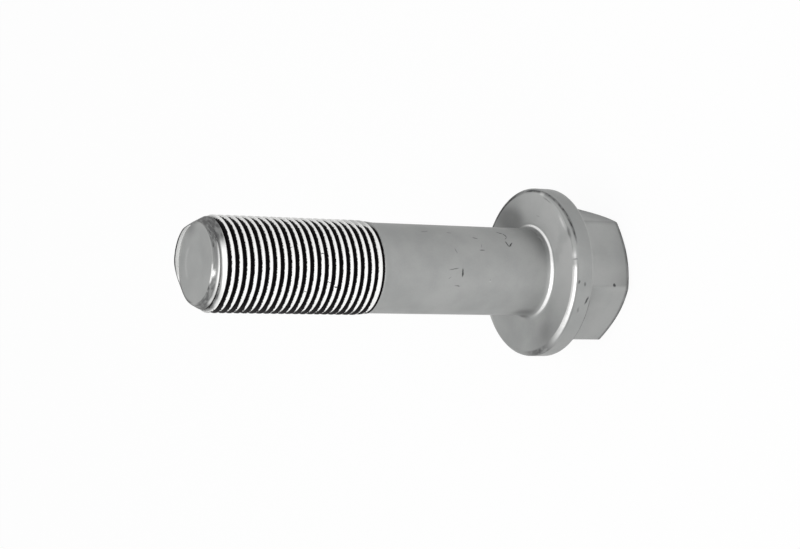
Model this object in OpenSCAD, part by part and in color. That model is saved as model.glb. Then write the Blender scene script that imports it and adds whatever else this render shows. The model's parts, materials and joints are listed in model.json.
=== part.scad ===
/* [Thread] */
// Diameter over the thread crests
thread_d = 17.9; // [16:0.1:20]
// Distance from one thread to the next
thread_pitch = 1.5; // [1:0.25:2]
// Threaded length, from the end face back to the plain shank
thread_len = 36.1; // [20:0.1:45]
// Length of the slow cone that lifts the thread out of the shank
lead_cone_len = 3.3; // [1:0.1:4]
// Turns over which the groove sinks to its full depth
runout_turns = 1.5; // [0.5:0.25:2]
// Direction in which the groove leaves the shank, counted round the axis from a hexagon corner
thread_start = -37; // [-180:1:180]

/* [Shank] */
// Length from the bearing face to the end face
bolt_len = 72; // [60:0.5:100]
// Diameter of the plain shank
shank_d = 17.2; // [15:0.1:17.4]
// Fillet radius between the shank and the bearing face
underhead_r = 1.3; // [0.5:0.1:2.5]

/* [Point] */
// Length of the tapered point
point_len = 2.7; // [1.5:0.1:4]
// Diameter of the taper where it reaches the end face
point_d = 15.2; // [13:0.1:15.6]
// Rounding between the taper and the end face
point_edge_r = 0.5; // [0.2:0.1:1]
// Diameter of the shallow dish in the end face
dish_d = 9.2; // [4:0.1:12]
// Depth of the dish
dish_depth = 0.25; // [0.1:0.05:0.5]
// Height of the lip that cropping left along one side of the end face
lip_h = 1; // [0.2:0.1:1.5]
// Thickness of the lip at its foot
lip_w = 0.6; // [0.3:0.1:1.5]
// How far the lip stands inside the taper's edge
lip_inset = 0.1; // [0.05:0.05:0.3]
// How far the hollow beside the lip is off the axis
lip_offset = 1.2; // [0.8:0.1:2]
// Direction of the lip, counted round the axis from a hexagon corner
lip_side = 168; // [0:1:360]

/* [Flange] */
// Flange diameter
flange_d = 33.2; // [30:0.1:40]
// Height of the flange's upright side, with both rounded edges
flange_side_h = 4.2; // [3:0.1:6]
// Rounding of the edge round the bearing face
bearing_edge_r = 0.8; // [0.2:0.1:1.2]
// Rounding of the edge on the wrench side
back_edge_r = 0.6; // [0.2:0.1:1.2]
// Slope of the flange's back, measured from the bearing face
back_angle = 20; // [10:1:30]

/* [Hexagon] */
// Width across the flats
hex_af = 24; // [20:0.1:26]
// Depth by which the six corners are rounded off
hex_corner_cut = 0.08; // [0.05:0.01:0.4]
// Head height, from the bearing face to the top of the head
head_h = 16.3; // [13:0.1:22]
// Diameter of the flat top inside the corner chamfer
crown_d = 22.4; // [18:0.1:22.6]
// Slope of the corner chamfer, measured from the flat top
chamfer_angle = 30; // [15:1:40]

/* [Hidden] */
$fn = 96;

// The bolt stands on the top of its head, with its axis on +Z
bearing_z = head_h;
end_z = head_h + bolt_len;
thread_z = end_z - thread_len;

thread_r = thread_d / 2;
shank_r = shank_d / 2;
point_r = point_d / 2;
point_taper = atan((thread_r - point_r) / point_len);
// Radius of the ball that would press the dish
dish_r = (dish_d * dish_d / 4 + dish_depth * dish_depth) / (2 * dish_depth);

// A sixty degree thread: flanks at thirty degrees, cut 0.6134 of the pitch deep, with a flat root
flank_angle = 30;
groove_depth = 0.6134 * thread_pitch;
root_half_w = thread_pitch / 16;
root_r = thread_r - groove_depth;
// The groove cutter stands this far outside the crests
cutter_margin = 0.1;
steps_per_turn = 36;

flange_r = flange_d / 2;
back_z = bearing_z - flange_side_h;
hex_r = hex_af / 2 / cos(30);
corner_r = hex_r - hex_corner_cut;
crown_r = crown_d / 2;
// The flange's back cone ends inside the hexagon
core_r = hex_af / 3;
core_z = back_z - (flange_r - core_r) * tan(back_angle);

function polar(angle) = [cos(angle), sin(angle)];

// The sliver between a sharp corner and the arc that rounds it.
// The corner's two edges leave it at the angles a and b, counted anticlockwise.
module corner_sliver(corner, a, b, r) {
    half = (b - a) / 2;
    reach = r / tan(half);
    centre = corner + r / sin(half) * polar(a + half);
    difference() {
        polygon([corner, corner + reach * polar(a), centre, corner + reach * polar(b)]);
        translate(centre) circle(r);
    }
}

// Half section of the shank and its tapered, dished point, before the thread is rolled
module shank_section() {
    difference() {
        polygon([
            [0, bearing_z],
            [shank_r, bearing_z],
            [shank_r, thread_z],
            [thread_r, thread_z + lead_cone_len],
            [thread_r, end_z - point_len],
            [point_r, end_z],
            [0, end_z]
        ]);
        corner_sliver([point_r, end_z], 180, 270 + point_taper, point_edge_r);
        translate([0, end_z - dish_depth + dish_r]) circle(dish_r);
    }
    corner_sliver([shank_r, bearing_z], 0, 90, underhead_r);
}

// Crescent lip along one side of the end face. Its outside keeps the point's taper.
module cropped_lip() {
    drop = point_edge_r / 2;
    slope = tan(point_taper);
    foot_r = point_r - lip_inset;
    difference() {
        translate([0, 0, end_z - drop])
            cylinder(r1 = foot_r + drop * slope, r2 = foot_r - lip_h * slope, h = drop + lip_h);
        rotate(lip_side)
            translate([-lip_offset, 0, end_z - 2 * drop])
            cylinder(r = foot_r - lip_w + lip_offset, h = 3 * drop + lip_h);
    }
}

// Half section of the flange: flat bearing face, upright side, sloping back
module flange_section() {
    difference() {
        polygon([
            [0, bearing_z],
            [0, core_z],
            [core_r, core_z],
            [flange_r, back_z],
            [flange_r, bearing_z]
        ]);
        corner_sliver([flange_r, bearing_z], 180, 270, bearing_edge_r);
        corner_sliver([flange_r, back_z], 90, 180 + back_angle, back_edge_r);
    }
}

// Hexagon with its top corners chamfered by a cone
module hexagon() {
    chamfer_h = (corner_r - crown_r) * tan(chamfer_angle);
    intersection() {
        cylinder(r = hex_r, h = back_z, $fn = 6);
        rotate_extrude()
            polygon([[0, 0], [crown_r, 0], [corner_r, chamfer_h], [corner_r, back_z], [0, back_z]]);
    }
}

// One cross-section of the groove cutter. It starts outside the metal and sinks to full depth.
function groove_ring(i) =
    let (
        angle = thread_start + i * 360 / steps_per_turn,
        z = thread_z + thread_pitch * i / steps_per_turn,
        rise = max(0, 1 - i / (steps_per_turn * runout_turns)),
        r_in = root_r + (groove_depth + cutter_margin / 2) * rise,
        r_out = thread_r + cutter_margin,
        out_half_w = root_half_w + (r_out - r_in) * tan(flank_angle),
        section = [[r_in, -root_half_w], [r_out, -out_half_w], [r_out, out_half_w], [r_in, root_half_w]]
    )
    [for (p = section) [p[0] * cos(angle), p[0] * sin(angle), z + p[1]]];

// Right-hand helical groove that runs out past the end of the point
module thread_groove() {
    last = ceil((thread_len / thread_pitch + 1) * steps_per_turn);
    corners = [for (i = [0:last]) each groove_ring(i)];
    sides = [
        for (i = [0:last - 1])
            for (k = [0:3])
                let (k2 = (k + 1) % 4, here = 4 * i, next = here + 4)
                each [[here + k, next + k, next + k2], [here + k, next + k2, here + k2]]
    ];
    ends = [[3, 2, 1, 0], [for (k = [0:3]) 4 * last + k]];
    polyhedron(corners, concat(sides, ends), convexity = 20);
}

// Flanged hexagon bolt, headed from one bar and rolled with a right-hand thread
module bolt() {
    color("darkgray")
    difference() {
        union() {
            rotate_extrude() shank_section();
            cropped_lip();
            rotate_extrude() flange_section();
            hexagon();
        }
        thread_groove();
    }
}

bolt();
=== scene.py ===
import json
import math
import bmesh
import bpy
from mathutils import Matrix, Vector


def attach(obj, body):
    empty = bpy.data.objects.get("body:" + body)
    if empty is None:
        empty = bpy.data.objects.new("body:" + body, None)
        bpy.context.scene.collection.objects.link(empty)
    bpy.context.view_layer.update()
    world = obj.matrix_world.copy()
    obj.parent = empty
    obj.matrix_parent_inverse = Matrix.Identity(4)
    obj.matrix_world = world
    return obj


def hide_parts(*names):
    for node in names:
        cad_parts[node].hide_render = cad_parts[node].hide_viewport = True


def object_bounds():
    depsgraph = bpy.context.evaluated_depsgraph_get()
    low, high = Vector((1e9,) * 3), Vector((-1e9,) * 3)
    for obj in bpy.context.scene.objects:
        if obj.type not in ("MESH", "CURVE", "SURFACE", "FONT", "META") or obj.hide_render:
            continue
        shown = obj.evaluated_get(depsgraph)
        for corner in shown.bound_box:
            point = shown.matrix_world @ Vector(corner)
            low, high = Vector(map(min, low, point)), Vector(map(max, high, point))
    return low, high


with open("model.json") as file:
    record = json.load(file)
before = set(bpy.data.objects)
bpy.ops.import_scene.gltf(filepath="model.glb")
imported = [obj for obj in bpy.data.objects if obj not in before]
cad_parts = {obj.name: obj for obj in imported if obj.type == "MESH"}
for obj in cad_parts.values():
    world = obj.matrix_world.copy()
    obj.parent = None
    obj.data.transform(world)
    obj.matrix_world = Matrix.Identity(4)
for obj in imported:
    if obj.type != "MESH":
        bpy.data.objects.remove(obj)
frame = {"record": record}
cad_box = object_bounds()

# Camera: a long lens looks down on the bolt from the point's side, sixty degrees off the axis.
# It is rolled so that the axis lies across the picture, with the point on the left.
mm = 0.001
bearing_z = frame["record"]["mounts"][0]["pos_m"][2]
rim_below_bearing = 0.23 * mm
axis_tilt = math.radians(59.86)
axis_roll = math.radians(1.43)
view_side = math.radians(11.7)
rim_ahead = 406 * mm
rim_to_right = 25.45 * mm
rim_above_middle = 0.47 * mm
focal_share_of_width = 2.563
sensor_width = 36.0

turn_to_view = Matrix.Rotation(view_side, 3, "Z")
eye_back = turn_to_view @ Vector((math.sin(axis_tilt), 0, math.cos(axis_tilt)))
eye_right = turn_to_view @ Vector((
    math.cos(axis_tilt) * math.cos(axis_roll),
    math.sin(axis_roll),
    -math.sin(axis_tilt) * math.cos(axis_roll),
))
eye_up = eye_back.cross(eye_right)
rim_centre = Vector((0, 0, bearing_z - rim_below_bearing))
eye = rim_centre + rim_ahead * eye_back - rim_to_right * eye_right - rim_above_middle * eye_up

lens = bpy.data.cameras.new("camera")
lens.sensor_width = sensor_width
lens.lens = focal_share_of_width * sensor_width
lens.clip_start = 10 * mm
camera = bpy.data.objects.new("camera", lens)
eye_axes = Matrix((eye_right, eye_up, eye_back)).transposed()
camera.matrix_world = Matrix.Translation(eye) @ eye_axes.to_4x4()
bpy.context.scene.collection.objects.link(camera)
bpy.context.scene.camera = camera

# Bolt: one piece of steel, headed hot from a bar, turned, thread-rolled and coated.
# Its thread comes first: one pitch of the thread's outline is swept once round the helix,
# copied along the bar, run out into the shank at one end and tapered to the point at the other.
bolt_len = 72 * mm
end_z = bearing_z + bolt_len
pitch = 1.5 * mm
thread_r = 8.95 * mm
groove_depth = 0.6134 * pitch
root_half = pitch / 16
root_r = thread_r - groove_depth
crest_half = pitch / 2 - root_half - groove_depth * math.tan(math.radians(30))
thread_corner = 0.07 * mm
thread_z = end_z - 36.1 * mm
thread_start = math.radians(-37)
lead_len = 3.3 * mm
runout_turns = 1.5
shank_r = 8.6 * mm
point_len = 2.7 * mm
point_r = 7.6 * mm
point_cut = end_z - 0.75 * mm
shank_cut = thread_z - 0.4 * mm
groove_lift = 0.05 * mm
steps_per_turn = 120
spare_turns = 2
merge_gap = 0.003 * mm
cut_gap = 0.002 * mm

blank = bmesh.new()
outline = [
    (-pitch / 2, root_r),
    (-pitch / 2 + root_half, root_r),
    (-crest_half, thread_r),
    (crest_half, thread_r),
    (pitch / 2 - root_half, root_r),
    (pitch / 2, root_r),
]
groove_z = thread_z - pitch * thread_start / math.tau
first_crest_z = groove_z + pitch * (0.5 - spare_turns)
knots = [blank.verts.new((r, 0, first_crest_z + z)) for z, r in outline]
for pair in zip(knots, knots[1:]):
    blank.edges.new(pair)
bmesh.ops.bevel(
    blank, geom=knots[1:5], offset=thread_corner, segments=3, profile=0.5, affect="VERTICES", material=-1
)
flanks = sorted(blank.edges, key=lambda edge: edge.calc_length())[-2:]
bmesh.ops.subdivide_edges(blank, edges=flanks, cuts=2)
bmesh.ops.spin(
    blank,
    geom=blank.verts[:] + blank.edges[:],
    cent=(0, 0, 0),
    axis=(0, 0, 1),
    dvec=(0, 0, pitch / steps_per_turn),
    angle=math.tau,
    steps=steps_per_turn,
)
one_turn = blank.verts[:] + blank.edges[:] + blank.faces[:]
turns = math.ceil((end_z - thread_z) / pitch) + 1 + spare_turns
for turn in range(1, turns):
    copied = bmesh.ops.duplicate(blank, geom=one_turn)["geom"]
    copied_verts = [vert for vert in copied if isinstance(vert, bmesh.types.BMVert)]
    bmesh.ops.translate(blank, verts=copied_verts, vec=(0, 0, turn * pitch))
bmesh.ops.remove_doubles(blank, verts=blank.verts[:], dist=merge_gap)


def ease(low, high, value):
    """Smooth step from 0 at low to 1 at high."""
    share = min(1.0, max(0.0, (value - low) / (high - low)))
    return share * share * (3 - 2 * share)


def bar_radius(z):
    """Radius of the bar before the groove is rolled into it."""
    lead = min(1.0, max(0.0, (z - thread_z) / lead_len))
    taper = max(0.0, (z - end_z) / point_len + 1)
    return shank_r + (thread_r - shank_r) * lead - (thread_r - point_r) * taper


def from_front(azimuth):
    """Degrees round the axis from the bolt's front, from -180 to 180."""
    return math.degrees((azimuth - view_side + math.pi) % math.tau - math.pi)


def hump(middle, half, value):
    """Smooth hump, 1 at the middle and 0 at half a width from it."""
    return ease(half, 0, abs(value - middle))


def taper_scale(side):
    """Dark scale on the point's taper, thinner at the front."""
    return 0.5 + 0.27 * ease(12, 40, abs(side))


# The finish is kept on the mesh: how black the groove is, which is painted shade; the bright ridges and
# edges, which are bare metal painted white as highlights; and the dark scale on sheared and forged
# edges, with painted shade on outlines.
# Sides are in degrees from the front, because the painted light and shade, and some wear, differ from
# side to side.
black_from = 0.33
black_full = 0.41
taper_scale_len = 2.6 * mm
taper_scale_fade = 0.6 * mm
groove_wear = blank.verts.layers.float.new("groove")
ridge_bare_and_lit_layer = blank.verts.layers.float.new("ridge_bare_and_lit")
bare_and_lit_layer = blank.verts.layers.float.new("bare_and_lit")
scale_and_shade_layer = blank.verts.layers.float.new("scale_and_shade")
for vert in blank.verts:
    azimuth = math.atan2(vert.co.y, vert.co.x)
    radius = math.hypot(vert.co.x, vert.co.y)
    round_share = (azimuth - thread_start) / math.tau
    helix = (vert.co.z - thread_z) / pitch - round_share
    sunk = min(1.0, max(0.0, (round(helix) + round_share) / runout_turns))
    bottom = root_r + (groove_depth + groove_lift) * (1 - sunk)
    bar = bar_radius(vert.co.z)
    new_radius = min(bar, radius + bottom - root_r)
    depth = bar - bottom
    vert.co.xy *= new_radius / radius

    side = from_front(azimuth)
    # On the upper side near the run-out, the grooves are painted less black and the ridges less bright.
    greyed_side = ease(56, 80, side) * ease(170, 120, side)
    greyed_runout = greyed_side * ease(thread_z + 8 * mm, thread_z + 3 * mm, vert.co.z)
    # Painted shade: on the lower side the whole thread is painted black, ridges too.
    lower_side_shade = ease(-68, -76, side) * ease(-106, -90, side)
    taper_start = end_z - taper_scale_len - taper_scale_fade * ease(40, 75, side)
    on_taper = ease(taper_start, taper_start + taper_scale_fade, vert.co.z)
    on_point = ease(point_cut - 0.4 * mm, point_cut, vert.co.z)
    sunk_share = 0.0
    if depth > groove_lift:
        sunk_share = (bar - new_radius) / depth
        # The swell widens the groove's painted shade on the upper and lower sides.
        swell = 0.12 * hump(50, 26, side) + 0.39 * ease(-42, -75, side) * ease(-140, -95, side)
        black = (sunk_share + swell) * ease(groove_lift, 0.4 * mm, depth)
        vert[groove_wear] = black * (1 - 0.7 * greyed_runout) * (1 - 0.6 * on_taper)
    on_thread = ease(thread_z + 1.2 * mm, thread_z + 2 * mm, vert.co.z) * (1 - on_taper)
    vert[groove_wear] = max(vert[groove_wear], black_full * lower_side_shade * on_thread)
    first_turns = ease(0.55, 0.85, math.floor(helix) + round_share)
    # On the taper, the ridges keep their painted highlight only at the front; at the sides and deep in
    # the groove they are painted dark, as shade.
    taper_shaded_side = max(ease(14, 38, side), 0.45 * ease(-18, -45, side), ease(-50, -68, side))
    taper_shaded_ridge = on_taper * max(taper_shaded_side, ease(0.15, 0.35, sunk_share))
    # The ridges are bare metal, painted white as their highlight.
    vert[ridge_bare_and_lit_layer] = first_turns * (1 - on_point) * (1 - taper_shaded_ridge) * (1 - 0.5 * greyed_runout)
    vert[scale_and_shade_layer] = on_taper * taper_scale(side)

for height, outwards in ((point_cut, 1), (shank_cut, -1)):
    bmesh.ops.bisect_plane(
        blank,
        geom=blank.verts[:] + blank.edges[:] + blank.faces[:],
        dist=cut_gap,
        plane_co=(0, 0, height),
        plane_no=(0, 0, outwards),
        clear_outer=True,
    )


def open_loop(height):
    """The open edge loop at one height, with a vertex only at each step of the thread."""
    step = math.tau / steps_per_turn
    near = 0.02 * mm
    open_edges = [edge for edge in blank.edges if edge.is_boundary]
    rim = {vert for edge in open_edges for vert in edge.verts if abs(vert.co.z - height) < near}
    regular = {}
    spare = []
    for vert in rim:
        steps = math.atan2(vert.co.y, vert.co.x) / step
        if abs(steps - round(steps)) < 0.02:
            regular[round(steps) % steps_per_turn] = vert
        else:
            spare.append((vert, round(steps) % steps_per_turn))
    bmesh.ops.weld_verts(blank, targetmap={vert: regular[steps] for vert, steps in spare})
    kept = set(regular.values())
    return [edge for edge in blank.edges if edge.is_boundary and set(edge.verts) <= kept]


def grow(loop, place, bare_and_lit=None, scale_and_shade=None):
    """Extrude a loop to the radius and height that place gives for each azimuth, with its wear, painted
    light and painted shade.
    """
    made = bmesh.ops.extrude_edge_only(blank, edges=loop)["geom"]
    fresh = {vert for vert in made if isinstance(vert, bmesh.types.BMVert)}
    for vert in fresh:
        azimuth = math.atan2(vert.co.y, vert.co.x)
        radius, height = place(azimuth)
        vert.co = (radius * math.cos(azimuth), radius * math.sin(azimuth), height)
        vert[bare_and_lit_layer] = bare_and_lit(from_front(azimuth)) if bare_and_lit else 0.0
        vert[scale_and_shade_layer] = scale_and_shade(from_front(azimuth)) if scale_and_shade else 0.0
        vert[groove_wear] = 0.0
        vert[ridge_bare_and_lit_layer] = 0.0
    return [edge for edge in made if isinstance(edge, bmesh.types.BMEdge) and set(edge.verts) <= fresh]


def arc(centre, radius, start, stop, count):
    """Points along an arc of a half section, after its first one, with their share of the arc."""
    for k in range(1, count + 1):
        angle = math.radians(start + (stop - start) * k / count)
        yield centre[0] + radius * math.cos(angle), centre[1] + radius * math.sin(angle), k / count


def close_pole(loop, height):
    """Draw the last loop together on the axis."""
    verts = list({vert for edge in loop for vert in edge.verts})
    bmesh.ops.pointmerge(blank, verts=verts, merge_co=(0, 0, height))


# End of the point: the bar was cropped, which left a thin lip along one side of its end face.
# The other side has a rounded edge, and rolling left the face slightly dished.
lip_h = cad_box[1][2] - end_z
lip_side = math.radians(168)
lip_foot_r = 7.2 * mm
point_edge_r = 0.5 * mm
lip_edge_r = 0.12 * mm
point_slope = (thread_r - point_r) / point_len
taper_angle = math.degrees(math.atan(point_slope))


def lip_share(azimuth):
    """Height of the lip at an azimuth, as a share of its full height."""
    away = math.degrees((azimuth - lip_side + math.pi) % math.tau - math.pi)
    return ease(-52, -38, away) * ease(66, 16, away)


def point_edge(azimuth, angle):
    """A point on the rounding between the taper and the end face, or the lip's top."""
    share = lip_share(azimuth)
    edge_r = point_edge_r + (lip_edge_r - point_edge_r) * ease(0, 0.4, share)
    reach = edge_r / math.tan(math.radians(90 + taper_angle) / 2)
    corner = point_r - lip_h * share * point_slope
    radius = corner - reach + edge_r * math.cos(math.radians(angle))
    return radius, end_z + lip_h * share - edge_r * (1 - math.sin(math.radians(angle)))


def lip_wall(azimuth, down):
    """A point on the lip's inner wall, or on the end face where there is no lip."""
    top_r, top_z = point_edge(azimuth, 90)
    return top_r + (lip_foot_r - top_r) * down, top_z + (end_z - top_z) * down


def torn_edge_highlight(side):
    """Bare metal torn open along the front of the end's edge, painted bright as its highlight."""
    return ease(-30, -24, side) * ease(2, -4, side)


def lip_wall_highlight(side):
    """Painted highlight on the lip's inner wall, as bright bare metal."""
    return min(1.5, 3 * lip_share(math.radians(side) + view_side))


def sheared_edge(side):
    """Dark scale in the jagged lower front of the end's edge."""
    return max(hump(-36, 8, side), 0.6 * ease(-38, -48, side) * ease(-86, -72, side))


def dark_crest(side):
    """Dark line on the lip's crest and jagged front, and painted shade on the upper and lower edge
    beside it.
    """
    lip = lip_share(math.radians(side) + view_side)
    return max(lip, 0.6 * hump(105, 30, side), sheared_edge(side), 0.9 * ease(-92, -106, side))


def lower_edge(side):
    """Painted shade on the end's far lower edge, up to the lip's end."""
    return ease(-92, -106, side) * ease(-165, -150, side)


def dark_edge(side):
    """Dark scale where the taper runs into the end's edge, and painted shade along its upper and lower
    side.
    """
    return max(taper_scale(side), 0.95 * ease(85, 112, abs(side)), hump(-36, 8, side))


def face_shade(side):
    """Faint painted shade on the upper side of the end face."""
    return max(0.3 * hump(108, 30, side), 0.1 * hump(30, 60, side))


loop = open_loop(point_cut)
# The rounding is painted bright at the front, as its highlight.
for angle in (taper_angle, 45):
    loop = grow(
        loop,
        lambda azimuth: point_edge(azimuth, angle),
        bare_and_lit=lambda side: hump(-13, 7, side),
        scale_and_shade=dark_edge,
    )
for angle in (70, 90):
    loop = grow(loop, lambda azimuth: point_edge(azimuth, angle), bare_and_lit=torn_edge_highlight, scale_and_shade=dark_crest)
loop = grow(loop, lambda azimuth: lip_wall(azimuth, 0.24), bare_and_lit=torn_edge_highlight, scale_and_shade=dark_crest)
# The lip's wall has its painted highlight, and painted shade on its upper side and lower edge.
for down in (0.32, 0.5, 0.94):
    loop = grow(
        loop,
        lambda azimuth: lip_wall(azimuth, down),
        bare_and_lit=lambda side: max(lip_wall_highlight(side), 0.9 * torn_edge_highlight(side)),
        scale_and_shade=lambda side: 0.6 * max(hump(105, 30, side), hump(-36, 8, side), lower_edge(side)),
    )
for inset, share in ((0.02 * mm, 0.8), (0.12 * mm, 0.2), (0.2 * mm, 0.0)):
    loop = grow(
        loop,
        lambda azimuth: (lip_foot_r - inset, end_z),
        scale_and_shade=lambda side: max(face_shade(side), share * lower_edge(side)),
    )
dish_r = 4.6 * mm
dish_depth = 0.25 * mm
for share in (1.0, 0.9, 0.75, 0.5, 0.25, 0.08):
    sink = dish_depth * (1 - share * share)
    # Painted highlight: a faint light ring along the dish's far edge.
    rim_light = 0.1 * hump(0.9, 0.12, share)
    loop = grow(
        loop,
        lambda azimuth: (dish_r * share, end_z - sink),
        bare_and_lit=lambda side: rim_light * ease(125, 145, side % 360) * ease(235, 205, side % 360),
        scale_and_shade=lambda side: 0.08 * hump(30, 60, side) * ease(0.6, 0.9, share),
    )
close_pole(loop, end_z - dish_depth)

# Shank, fillet and flange follow on from the thread's other end.
# The shank and the bearing face are turned, and the fillet between them is rolled bright, with a painted
# highlight along it.
# The flange is forged with the head: its rim is rounded, upright at the side, and slopes at the back.
underhead_r = 1.3 * mm
flange_r = cad_box[1][1]
flange_side_h = 4.2 * mm
bearing_edge_r = 0.8 * mm
back_edge_r = 0.6 * mm
back_angle = 20
back_slope = math.tan(math.radians(back_angle))
back_z = bearing_z - flange_side_h


def rim_bare_and_highlight(side):
    """Bare metal along the rim's edge, painted white at the front as the edge's highlight."""
    front = ease(8, 2, side) * ease(-60, -34, side)
    return front + 0.5 * hump(12, 5, side) + 0.6 * hump(190, 40, side % 360)


def rim_painted_shade(share, side):
    """Painted shade along the rest of the rim's edge: dark lines above, on the far side and below."""
    drifting = hump(0.5 + (67 - side) / 80, 0.32, share) * ease(18, 28, side) * ease(100, 88, side)
    far = ease(95, 104, side) * ease(0.85, 0.6, share)
    low = 0.8 * hump(-74, 24, side)
    return min(1.0, max(1.3 * drifting, far, low))


def rim_dark_rounding(share, side):
    """Painted shade on the rim's rounding, and a dark band just outside its bright line."""
    beside_line = 0.3 * hump(0.75, 0.3, share) * ease(12, 3, side) * ease(-60, -32, side)
    return max(rim_painted_shade(share, side), beside_line)


def neck_painted_shadow(side):
    """Painted shadow of the head on the shank next to the fillet."""
    return 0.02 + 0.46 * hump(48, 52, side) + 0.12 * ease(-45, -75, side)


def fillet_polish_and_highlight(share, side):
    """Rolled bright line along the fillet, painted white as its highlight, narrower at the sides."""
    middle = 0.57 + 0.09 * ease(8, 35, side)
    half = 0.24 - 0.08 * ease(5, 35, side) - 0.06 * ease(-35, -60, side)
    return min(1.0, 1.6 * hump(middle, half, share)) * ease(-78, -38, side) * ease(112, 76, side)


def bearing_painted_light(side):
    """Painted light: the bearing face is painted a little brighter on its upper front."""
    return (0.12 + 0.14 * hump(20, 45, side)) * ease(-50, -15, side) * ease(115, 95, side)


# The shank next to the fillet is painted darker, as the head's shadow.
loop = open_loop(shank_cut)
for height, share in ((bearing_z + 7 * mm, 0), (bearing_z + 4 * mm, 0.2), (bearing_z + 2.5 * mm, 0.55)):
    loop = grow(loop, lambda azimuth: (shank_r, height), scale_and_shade=lambda side: share * neck_painted_shadow(side))
loop = grow(loop, lambda azimuth: (shank_r, bearing_z + underhead_r), scale_and_shade=neck_painted_shadow)
fillet_centre = (shank_r + underhead_r, bearing_z + underhead_r)
for radius, height, share in arc(fillet_centre, underhead_r, 180, 270, 18):
    loop = grow(
        loop,
        lambda azimuth: (radius, height),
        bare_and_lit=lambda side: max(fillet_polish_and_highlight(share, side), bearing_painted_light(side) * ease(0.8, 1, share)),
        scale_and_shade=lambda side: 1.2 * neck_painted_shadow(side) * ease(0.6, 0.4, share),
    )
rim_inner = flange_r - bearing_edge_r
for radius in (rim_inner - 1.2 * mm, rim_inner - 0.4 * mm):
    loop = grow(
        loop,
        lambda azimuth: (radius, bearing_z),
        bare_and_lit=bearing_painted_light,
        scale_and_shade=lambda side: 0.3 * hump(-60, 30, side),
    )
loop = grow(
    loop,
    lambda azimuth: (rim_inner - 0.25 * mm, bearing_z),
    bare_and_lit=lambda side: max(0.9 * rim_bare_and_highlight(side), bearing_painted_light(side)),
    scale_and_shade=lambda side: 0.35 * hump(-65, 26, side),
)
loop = grow(
    loop,
    lambda azimuth: (rim_inner, bearing_z),
    bare_and_lit=lambda side: max(rim_bare_and_highlight(side), bearing_painted_light(side)),
    scale_and_shade=lambda side: rim_painted_shade(0, side),
)
for radius, height, share in arc((rim_inner, bearing_z - bearing_edge_r), bearing_edge_r, 90, 0, 12):
    rub = ease(0.72, 0.52, share)
    loop = grow(
        loop,
        lambda azimuth: (radius, height),
        bare_and_lit=lambda side: rub * rim_bare_and_highlight(side),
        scale_and_shade=lambda side: rim_dark_rounding(share, side),
    )
# Painted shade: the rim's side is a little darker above and below, and its back rounding is a dark line
# below, painted lighter elsewhere as light.
loop = grow(
    loop,
    lambda azimuth: (flange_r, bearing_z - bearing_edge_r - 0.3 * mm),
    scale_and_shade=lambda side: 0.12 * hump(60, 35, side) + 0.08 * hump(-60, 30, side),
)
back_reach = back_edge_r / math.tan(math.radians(90 + back_angle) / 2)
loop = grow(
    loop,
    lambda azimuth: (flange_r, back_z + back_reach),
    scale_and_shade=lambda side: 0.1 * hump(60, 35, side) + 0.08 * hump(-60, 30, side),
)
back_centre = (flange_r - back_edge_r, back_z + back_reach)
for radius, height, share in arc(back_centre, back_edge_r, 0, back_angle - 90, 6):
    loop = grow(
        loop,
        lambda azimuth: (radius, height),
        bare_and_lit=lambda side: 0.12 * ease(-14, 0, side),
        scale_and_shade=lambda side: 0.9 * hump(0.5, 0.4, share) * ease(-14, -20, side),
    )

# Hexagon: forged, so it runs into the flange's back with a soft fillet.
# A cone chamfers its six corners, and its edges are slightly rounded. Its top is flat.
hex_half = 12 * mm
crown_r = 11.2 * mm
root_fillet_r = 1.2 * mm
hex_edge_r = 0.25 * mm
sharp_angle = math.radians(28)
chamfer_slope = math.tan(math.radians(30))
root_reach = root_fillet_r / math.tan(math.radians(90 + back_angle) / 2)


def hex_radius(azimuth):
    """Radius of the hexagon's outline, with a corner on the X axis."""
    return hex_half / math.cos(azimuth % (math.pi / 3) - math.pi / 6)


def hex_root(azimuth, angle):
    """A point on the fillet between the flange's back and the hexagon."""
    wall = hex_radius(azimuth)
    foot_z = back_z - (flange_r - wall) * back_slope
    radius = wall + root_fillet_r * (1 + math.cos(math.radians(angle)))
    height = foot_z - root_reach + root_fillet_r * math.sin(math.radians(angle))
    return radius, height


def face_number(side):
    """Number of the hexagon's face, counted from the X axis."""
    return int((side + math.degrees(view_side)) // 60) % 6


def face_painted_light(side):
    """Painted light: the faces are painted lighter by different amounts next to the flange, as each is
    lit.
    """
    return (0.16, 0.0, 0.05, 0.08, 0.03, 0.06)[face_number(side)]


for angle in range(90 + back_angle, 181, 14):
    loop = grow(loop, lambda azimuth: hex_root(azimuth, angle), bare_and_lit=face_painted_light)
wall_verts = {vert for edge in loop for vert in edge.verts}


def chamfer_z(azimuth):
    """Height of the cone's edge on the hexagon's side."""
    return (hex_radius(azimuth) - crown_r) * chamfer_slope


def face_painted_shade(side):
    """Painted shade on the faces towards the top of the head, more on some faces."""
    return (0.08 + 0.2 * ease(12, -10, side), 0.35, 0.1, 0.05, 0.12, 0.0)[face_number(side)]


# Painted shade: a dark band along the chamfer's edge, as the head's outline, over the faces' painted
# shade.
for above, share in ((0.8 * mm, 0), (0.35 * mm, 0.65)):
    loop = grow(
        loop,
        lambda azimuth: (hex_radius(azimuth), chamfer_z(azimuth) + above),
        scale_and_shade=lambda side: max(share, face_painted_shade(side)),
    )
    wall_verts |= {vert for edge in loop for vert in edge.verts}
chamfer_edge = grow(
    loop,
    lambda azimuth: (hex_radius(azimuth), chamfer_z(azimuth)),
    scale_and_shade=lambda side: 1.0,
)
wall_verts |= {vert for edge in chamfer_edge for vert in edge.verts}
crown_edge = grow(chamfer_edge, lambda azimuth: (crown_r, 0))


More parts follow.
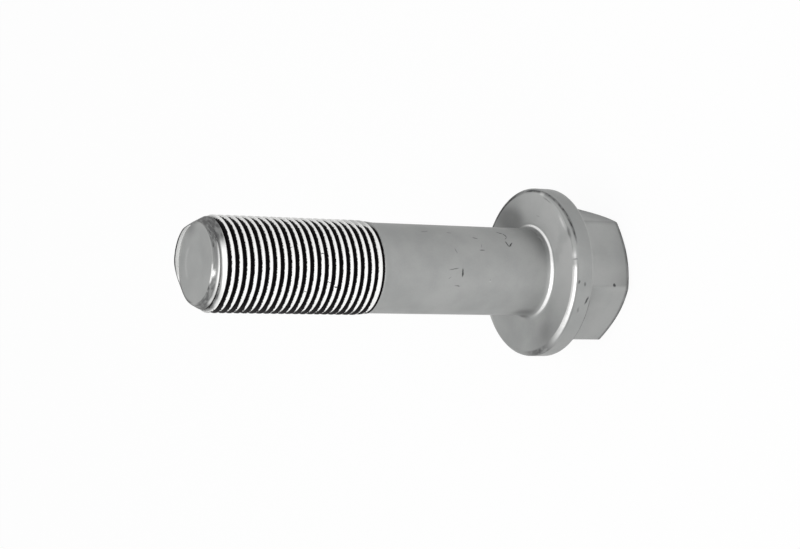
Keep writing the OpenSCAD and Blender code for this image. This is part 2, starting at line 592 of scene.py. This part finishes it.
def on_corner(vert):
    """Whether a point lies on one of the hexagon's six corners."""
    azimuth = math.degrees(math.atan2(vert.co.y, vert.co.x))
    return abs((azimuth + 30) % 60 - 30) < 0.5


corner_verts = {vert for vert in wall_verts if on_corner(vert)}
corner_edges = {
    edge for vert in corner_verts for edge in vert.link_edges if set(edge.verts) <= corner_verts
}
loop = crown_edge
for share in (0.94, 0.5, 0.1):
    loop = grow(loop, lambda azimuth: (crown_r * share, 0))
close_pole(loop, 0)
bmesh.ops.recalc_face_normals(blank, faces=blank.faces[:])
bmesh.ops.bevel(
    blank,
    geom=list(corner_edges) + chamfer_edge + crown_edge,
    offset=hex_edge_r,
    segments=3,
    profile=0.5,
    affect="EDGES",
    clamp_overlap=True,
    material=-1,
)
for face in blank.faces:
    face.smooth = True
mesh = bpy.data.meshes.new("coated_bolt")
blank.to_mesh(mesh)
blank.free()
mesh.set_sharp_from_angle(angle=sharp_angle)
bolt = bpy.data.objects.new("coated_bolt", mesh)
bpy.context.scene.collection.objects.link(bolt)
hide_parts("bolt")
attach(bolt, "root")

# Coating: satin grey metal flake, slightly blotched, with fine specks and handling marks.
# The ridges and some edges are bare metal painted white as highlights, other places are painted lighter
# and darker as light and shade, and the grooves are painted black as shade.
flake_dark = (0.325, 0.332, 0.328, 1)
flake_light = (0.378, 0.383, 0.378, 1)
# Bare steel, also used as the white of painted highlights and painted light.
bare_steel_and_highlight = (0.95, 0.95, 0.94, 1)
groove_black = (0.006, 0.005, 0.006, 1)
# Dark forge scale, also used as the dark of painted shade and painted shadows.
dark_scale_and_shade = (0.055, 0.055, 0.056, 1)
blotch_size = 7 * mm
speck_size = 0.35 * mm
streak_size = 1.6 * mm
speck_height = 0.02 * mm
coat_metallic = 0.25
bare_metallic = 0.35
coat_roughness = 0.5
bare_roughness = 0.25
coat_specular = 0.1
speck_relief = 0.25

coating = bpy.data.materials.new("grey_flake_coating")
coating.use_nodes = True
nodes = coating.node_tree.nodes
links = coating.node_tree.links
shader = nodes["Principled BSDF"]
shader.inputs["Specular IOR Level"].default_value = coat_specular
place = nodes.new("ShaderNodeTexCoord").outputs["Object"]


def feed(socket, value):
    """Set a socket to a value, or link it to another socket."""
    if isinstance(value, bpy.types.NodeSocket):
        links.new(value, socket)
    else:
        socket.default_value = value


def blend(amount, under, over):
    """Mix two colours."""
    mix = nodes.new("ShaderNodeMix")
    mix.data_type = "RGBA"
    feed(mix.inputs[0], amount)
    feed(mix.inputs[6], under)
    feed(mix.inputs[7], over)
    return mix.outputs[2]


def sum_up(operation, first, second):
    """One step of arithmetic on two numbers."""
    step = nodes.new("ShaderNodeMath")
    step.operation = operation
    step.use_clamp = True
    feed(step.inputs[0], first)
    feed(step.inputs[1], second)
    return step.outputs[0]


def remap(value, low, high, start=0.0, stop=1.0):
    """Ease a value from one range to another."""
    step = nodes.new("ShaderNodeMapRange")
    step.interpolation_type = "SMOOTHSTEP"
    feed(step.inputs["Value"], value)
    step.inputs["From Min"].default_value = low
    step.inputs["From Max"].default_value = high
    step.inputs["To Min"].default_value = start
    step.inputs["To Max"].default_value = stop
    return step.outputs["Result"]


def grain(size, detail, stretch=(1, 1, 1)):
    """Noise with grains of about one size, in metres."""
    stretched = nodes.new("ShaderNodeMapping")
    stretched.inputs["Scale"].default_value = stretch
    links.new(place, stretched.inputs["Vector"])
    noise = nodes.new("ShaderNodeTexNoise")
    noise.inputs["Scale"].default_value = 1 / size
    noise.inputs["Detail"].default_value = detail
    links.new(stretched.outputs["Vector"], noise.inputs["Vector"])
    return noise.outputs["Fac"]


def kept_value(name):
    """A value kept on the mesh: wear, painted light and painted shade."""
    kept = nodes.new("ShaderNodeAttribute")
    kept.attribute_name = name
    return kept.outputs["Fac"]


blotches = grain(blotch_size, 3)
specks = grain(speck_size, 2)
turning = grain(streak_size, 3, (1, 1, 3.5))
flake = blend(remap(blotches, 0.3, 0.7), flake_dark, flake_light)
flake = blend(remap(specks, 0.45, 0.75, 0.0, 0.22), flake, flake_light)
flake = blend(remap(specks, 0.5, 0.3, 0.0, 0.22), flake, flake_dark)

streaks = sum_up("MULTIPLY", remap(kept_value("scale_and_shade"), 0.4, 0.6, 0.0, 0.5), remap(turning, 0.6, 0.35))
scale_and_shade_edge = sum_up("MULTIPLY", kept_value("scale_and_shade"), sum_up("SUBTRACT", 1.0, streaks))
bare_and_lit_edge = sum_up("MULTIPLY", kept_value("bare_and_lit"), remap(blotches, 0.25, 0.45, 0.6, 1.0))
ridge_bare_and_lit = kept_value("ridge_bare_and_lit")
groove = sum_up("ADD", kept_value("groove"), remap(specks, 0.3, 0.7, -0.06, 0.06))
groove = remap(groove, black_from, black_full)

# The marks' outlines wander a little, so that none of them is a plain oval.
drift_size = 0.6 * mm
drift_reach = 0.3 * mm
drift = nodes.new("ShaderNodeVectorMath")
drift.operation = "MULTIPLY_ADD"
wander = nodes.new("ShaderNodeTexNoise")
wander.inputs["Scale"].default_value = 1 / drift_size
links.new(place, wander.inputs["Vector"])
links.new(wander.outputs["Color"], drift.inputs[0])
drift.inputs[1].default_value = (drift_reach, drift_reach, drift_reach)
links.new(place, drift.inputs[2])


def mark(centre, turn, size, amount, soft):
    """A long round blot on the surface: 0 outside it, up to its amount inside."""
    blot = nodes.new("ShaderNodeMapping")
    blot.vector_type = "TEXTURE"
    blot.inputs["Location"].default_value = [c + drift_reach / 2 for c in centre]
    blot.inputs["Rotation"].default_value = turn
    blot.inputs["Scale"].default_value = size
    links.new(drift.outputs[0], blot.inputs["Vector"])
    away = nodes.new("ShaderNodeVectorMath")
    away.operation = "LENGTH"
    links.new(blot.outputs[0], away.inputs[0])
    return remap(away.outputs["Value"], 1.0, 1.0 - soft, 0.0, amount)


def scratch(radius, start, stop, half_width, amount):
    """A line on the bar between two points, each an azimuth in degrees and a height in millimetres."""
    middle = math.radians((start[0] + stop[0]) / 2)
    across = radius * math.radians(stop[0] - start[0])
    along = stop[1] - start[1]
    centre = (radius * math.cos(middle), radius * math.sin(middle), (start[1] + stop[1]) / 2)
    half_length = math.hypot(across, along) / 2 + half_width
    return mark(
        [c * mm for c in centre],
        (math.atan2(-across, along), 0, middle),
        (0.6 * mm, half_width * mm, half_length * mm),
        amount,
        0.6,
    )


def soft_spot(centre, size, amount, azimuth, soft):
    """A soft spot, with its place and half sizes in millimetres, turned to an azimuth in degrees."""
    turn = (0, 0, math.radians(azimuth))
    return mark([c * mm for c in centre], turn, [s * mm for s in size], amount, soft)


# Each line has its start and stop, as azimuth and height, then its half width and its strength.
shank_scratches = (
    ((3, 36.7), (14, 36.7), 0.26, 1.0),
    ((12, 39.9), (14, 37.4), 0.13, 0.6),
    ((0, 39.8), (3, 39.2), 0.12, 0.35),
    ((-8, 38.2), (-9, 36.9), 0.15, 0.55),
    ((41, 38.1), (33, 37.6), 0.14, 0.4),
    ((59, 33.1), (57, 31.9), 0.18, 0.65),
    ((48, 31.6), (42, 31.9), 0.12, 0.3),
    ((39, 32.5), (39, 31.3), 0.17, 0.6),
    ((67, 44.1), (69, 42.2), 0.2, 0.3),
    ((67, 38.4), (67, 37.2), 0.2, 0.35),
    ((73, 26.6), (69, 25.4), 0.24, 0.8),
    ((69, 25.4), (62, 25.0), 0.2, 0.85),
    ((62, 25.0), (58, 25.8), 0.14, 0.6),
    ((54, 25.9), (45, 25.5), 0.19, 0.9),
    ((45, 25.5), (52, 24.4), 0.21, 0.95),
)
taper_scratches = (
    ((66, 88.0), (50, 88.0), 0.13, 0.85),
    ((57, 87.2), (41, 87.4), 0.12, 0.8),
    ((61, 86.5), (41, 86.6), 0.12, 0.75),
    ((44, 87.9), (31, 88.1), 0.12, 0.85),
    ((52, 87.7), (36, 87.0), 0.1, 0.7),
)
flange_scuffs = (
    ((-4, 12.8), (-9, 13.3), 0.3, 0.85),
)
ridge_nicks = (
    ((34, 72.7), (34, 73.5), 0.1, 0.7),
    ((27, 66.5), (27, 67.4), 0.13, 0.9),
    ((-7, 64.8), (-7, 65.6), 0.12, 0.85),
    ((-12, 63.2), (-14, 64.1), 0.16, 1.0),
    ((-20, 69.3), (-20, 70.1), 0.12, 0.8),
)
# Each spot has its centre, half sizes, strength, the azimuth that it is turned to, and its softness.
# The first, third and fifth spots are painted shadow: beside the shank on the bearing face, and where
# the shank meets the fillet.
stains_and_painted_shade = (
    ((-8.5, 8.8, 16.3), (8.0, 4.0, 1.0), 0.42, 0, 0.7),
    ((8.8, -9.8, 16.3), (3.2, 3.2, 1.0), 0.22, -48, 0.9),
    ((2.0, -8.8, 17.3), (3.2, 1.1, 1.2), 0.5, 0, 0.9),
    ((15.2, 5.9, 16.1), (0.7, 0.3, 0.7), 0.5, 21, 0.8),
    ((5.0, -7.0, 19.3), (1.5, 2.0, 3.4), 0.35, -54, 0.9),
    ((8.6, 0.0, 30.4), (0.5, 0.2, 0.2), 0.3, 0, 0.9),
    ((0.9, 11.5, 16.3), (0.9, 0.15, 0.5), 0.3, 0, 0.9),
    ((12.0, 10.4, 16.2), (0.6, 1.8, 0.6), 0.6, 41, 0.9),
    ((3.2, 15.1, 16.3), (0.25, 2.2, 0.5), 0.45, 78, 0.9),
    ((16.5, 1.7, 15.4), (0.8, 0.5, 0.3), 0.7, 6, 0.6),
    ((16.5, 1.3, 14.0), (0.8, 0.6, 0.35), 0.6, 5, 0.8),
    ((16.1, -3.9, 14.5), (0.8, 0.9, 0.35), 0.4, -13, 0.9),
    ((13.5, 0.6, 4.8), (0.6, 0.45, 0.4), 0.95, 3, 0.5),
    ((13.7, 0.0, 11.3), (0.6, 0.6, 0.5), 0.7, 0, 0.8),
    ((12.5, -2.3, 9.9), (0.6, 1.0, 0.35), 0.75, -10, 0.8),
)
pale_spots = (
    ((8.3, -0.3, 30.4), (0.5, 0.3, 0.3), 0.35, 0, 0.9),
    ((9.3, 11.9, 16.3), (0.5, 2.6, 0.6), 0.35, 52, 0.9),
    ((1.2, 15.9, 16.2), (0.5, 1.3, 0.6), 0.4, 86, 0.9),
)
# Each group of lines lies on a surface of this radius, in millimetres.
scratched_places = (
    (8.6, shank_scratches),
    (8.9, ridge_nicks),
    (8.0, taper_scratches),
    (16.6, flange_scuffs),
)
dark_marks = 0.0
for radius, scratches in scratched_places:
    for line in scratches:
        dark_marks = sum_up("MAXIMUM", dark_marks, scratch(radius, *line))
for spot in stains_and_painted_shade:
    dark_marks = sum_up("MAXIMUM", dark_marks, soft_spot(*spot))
pale_marks = 0.0
for spot in pale_spots:
    pale_marks = sum_up("MAXIMUM", pale_marks, soft_spot(*spot))

# The colour mixes real scale, wear and stains with painted shade (dark outlines, the head's shadow,
# black grooves) and painted light (white ridges, bright edges, lighter faces).
tone = blend(scale_and_shade_edge, flake, dark_scale_and_shade)
tone = blend(sum_up("MAXIMUM", ridge_bare_and_lit, bare_and_lit_edge), tone, bare_steel_and_highlight)
tone = blend(dark_marks, tone, dark_scale_and_shade)
tone = blend(pale_marks, tone, bare_steel_and_highlight)
tone = blend(groove, tone, groove_black)
links.new(tone, shader.inputs["Base Color"])

bright = sum_up("SUBTRACT", sum_up("MAXIMUM", bare_and_lit_edge, sum_up("MULTIPLY", ridge_bare_and_lit, 0.3)), groove)
feed(shader.inputs["Metallic"], remap(bright, 0.0, 1.0, coat_metallic, bare_metallic))
feed(shader.inputs["Roughness"], remap(bright, 0.0, 1.0, coat_roughness, bare_roughness))
relief = nodes.new("ShaderNodeBump")
relief.inputs["Strength"].default_value = speck_relief
relief.inputs["Distance"].default_value = speck_height
links.new(specks, relief.inputs["Height"])
links.new(relief.outputs["Normal"], shader.inputs["Normal"])
mesh.materials.append(coating)

# Floor: a plain white sheet that the bolt stands on.
# It shows white to the eye and in reflections, and keeps a faint soft shadow.
sheet_half = 4.0
sheet_white = (0.95, 0.95, 0.95, 1)
shown_share = 0.95

floor_mesh = bpy.data.meshes.new("floor")
sheet_form = bmesh.new()
bmesh.ops.create_grid(sheet_form, x_segments=1, y_segments=1, size=sheet_half)
sheet_form.to_mesh(floor_mesh)
sheet_form.free()
floor = bpy.data.objects.new("floor", floor_mesh)
bpy.context.scene.collection.objects.link(floor)


def shown_directly(tree):
    """1 where the surface is seen, also in a mirror or through glass, and 0 for the light it gives."""
    path = tree.nodes.new("ShaderNodeLightPath")
    seen = path.outputs["Is Camera Ray"]
    for kind in ("Is Glossy Ray", "Is Transmission Ray"):
        either = tree.nodes.new("ShaderNodeMath")
        either.operation = "MAXIMUM"
        tree.links.new(seen, either.inputs[0])
        tree.links.new(path.outputs[kind], either.inputs[1])
        seen = either.outputs[0]
    return seen


sheet = bpy.data.materials.new("white_sheet")
sheet.use_nodes = True
sheet_nodes = sheet.node_tree.nodes
sheet_links = sheet.node_tree.links
sheet_nodes.remove(sheet_nodes["Principled BSDF"])
paper = sheet_nodes.new("ShaderNodeBsdfDiffuse")
paper.inputs["Color"].default_value = sheet_white
glow = sheet_nodes.new("ShaderNodeEmission")
seen_white = sheet_nodes.new("ShaderNodeMath")
seen_white.operation = "MULTIPLY"
seen_white.inputs[1].default_value = shown_share
sheet_links.new(shown_directly(sheet.node_tree), seen_white.inputs[0])
either_way = sheet_nodes.new("ShaderNodeMixShader")
sheet_links.new(seen_white.outputs[0], either_way.inputs["Fac"])
sheet_links.new(paper.outputs[0], either_way.inputs[1])
sheet_links.new(glow.outputs[0], either_way.inputs[2])
sheet_links.new(either_way.outputs[0], sheet_nodes["Material Output"].inputs["Surface"])
floor_mesh.materials.append(sheet)

# Light: a white room with two large soft boxes in front of the bolt.
# The stronger one hangs high on the point's side. The other is on the head's side, half under the floor.
room_light = 0.5
box_distance = 0.8
box_size = 0.6
point_side_power = 3.2
head_side_power = 2.0
room = bpy.data.worlds.new("white_room")
room.use_nodes = True
wall = room.node_tree.nodes["Background"]
wall.inputs["Color"].default_value = (1, 1, 1, 1)
wall_shown = room.node_tree.nodes.new("ShaderNodeMapRange")
wall_shown.inputs["To Min"].default_value = room_light
wall_shown.inputs["To Max"].default_value = 1.0
room.node_tree.links.new(shown_directly(room.node_tree), wall_shown.inputs["Value"])
room.node_tree.links.new(wall_shown.outputs["Result"], wall.inputs["Strength"])
bpy.context.scene.world = room


def soft_box(name, right, up, back, power):
    """A square lamp that faces the bolt's middle, in a direction given by the camera's axes."""
    lamp = bpy.data.lights.new(name, "AREA")
    lamp.size = box_size
    lamp.energy = power
    box = bpy.data.objects.new(name, lamp)
    towards = (right * eye_right + up * eye_up + back * eye_back).normalized()
    middle = Vector((0, 0, end_z / 2))
    facing = towards.to_track_quat("Z", "Y").to_matrix().to_4x4()
    box.matrix_world = Matrix.Translation(middle + box_distance * towards) @ facing
    bpy.context.scene.collection.objects.link(box)


soft_box("point_side_box", -0.5, -0.25, 0.83, point_side_power)
soft_box("head_side_box", 0.5, -0.25, 0.83, head_side_power)

bpy.context.scene.view_settings.view_transform = "Standard"
